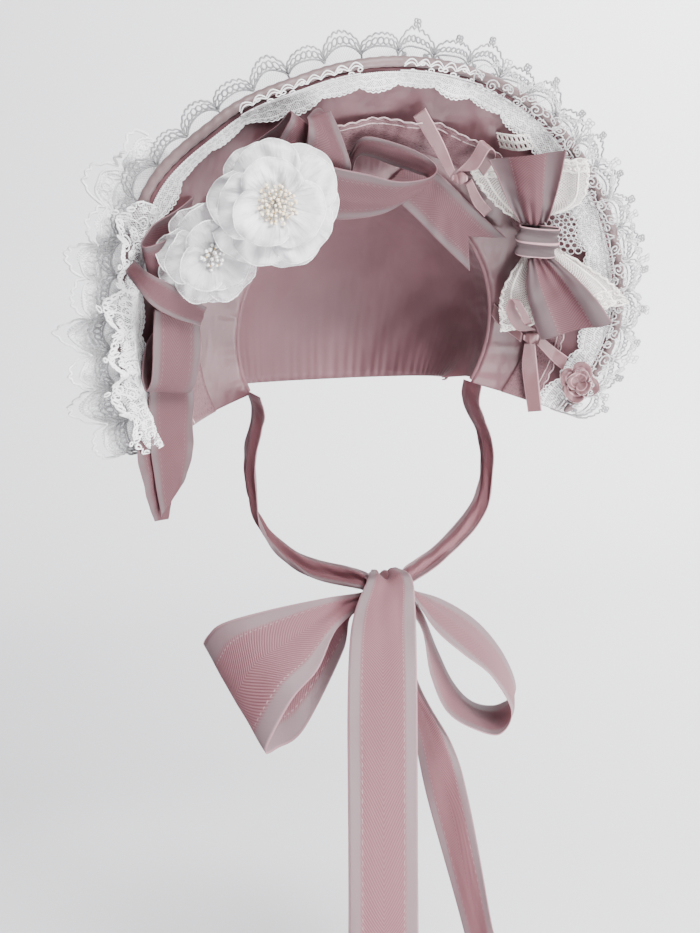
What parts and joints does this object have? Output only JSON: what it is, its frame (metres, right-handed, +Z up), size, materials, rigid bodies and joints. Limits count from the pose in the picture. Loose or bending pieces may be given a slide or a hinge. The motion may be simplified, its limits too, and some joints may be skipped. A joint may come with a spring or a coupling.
{
  "type": "bonnet",
  "caption": "Dusty pink costume bonnet: flaring horseshoe brim with gathered white lace, ribbon loops, organza flowers, a lace-backed bow and ribbons tied in a bow under the chin.",
  "frame": {"origin": "where the crown rests on top of the head, at the middle of the head line", "axes": "+Z up, the open front faces -Y, +X is the viewer's right when looking at the front"},
  "size_m": [0.4306, 0.239, 0.6781],
  "materials": {
    "pink_twill": "woven twill with grey side stripes",
    "pink_lining": "soft satin",
    "pink_satin": "satin",
    "white_lace": "open cotton lace",
    "white_organza": "sheer organza",
    "cream_pearl": "pearl beads"
  },
  "bodies": {
    "root": {"bow_base": "pink_satin", "bow_knot": "pink_twill", "bow_wing_lower": "pink_twill", "bow_wing_upper": "pink_twill", "brim": "pink_lining", "chin_knot": "pink_twill", "chin_loop_left": "pink_twill", "chin_loop_right": "pink_twill", "chin_strap_left": "pink_twill", "chin_strap_right": "pink_twill", "chin_tail_back": "pink_twill", "chin_tail_front": "pink_twill", "crown": "pink_lining", "crown_casing": "pink_lining", "crown_loop": "pink_twill", "doily": "white_lace", "edge_lace": "white_lace", "edge_piping": "pink_twill", "headline_ruffle": "pink_satin", "inner_lace": "white_lace", "lace_tape": "white_lace", "lace_wing_lower": "white_lace", "lace_wing_upper": "white_lace", "large_flower_center": "cream_pearl", "large_flower_inner": "white_organza", "large_flower_outer": "white_organza", "large_flower_stem": "white_organza", "loop_left_top": "pink_twill", "loop_middle_top": "pink_twill", "narrow_bow_side_left": "pink_satin", "narrow_bow_side_loop": "pink_satin", "narrow_bow_side_right": "pink_satin", "narrow_bow_side_tail": "pink_satin", "narrow_bow_top_end": "pink_satin", "narrow_bow_top_loop": "pink_satin", "narrow_bow_top_tail": "pink_satin", "narrow_knot_side": "pink_satin", "narrow_knot_top": "pink_satin", "rosette": "pink_satin", "side_lace": "white_lace", "side_loop_lower": "pink_twill", "side_loop_upper": "pink_twill", "side_tail_front": "pink_twill", "side_wrap": "pink_twill", "small_flower_center": "cream_pearl", "small_flower_inner": "white_organza", "small_flower_outer": "white_organza", "swallow_tail": "pink_twill"}
  },
  "joints": []
}
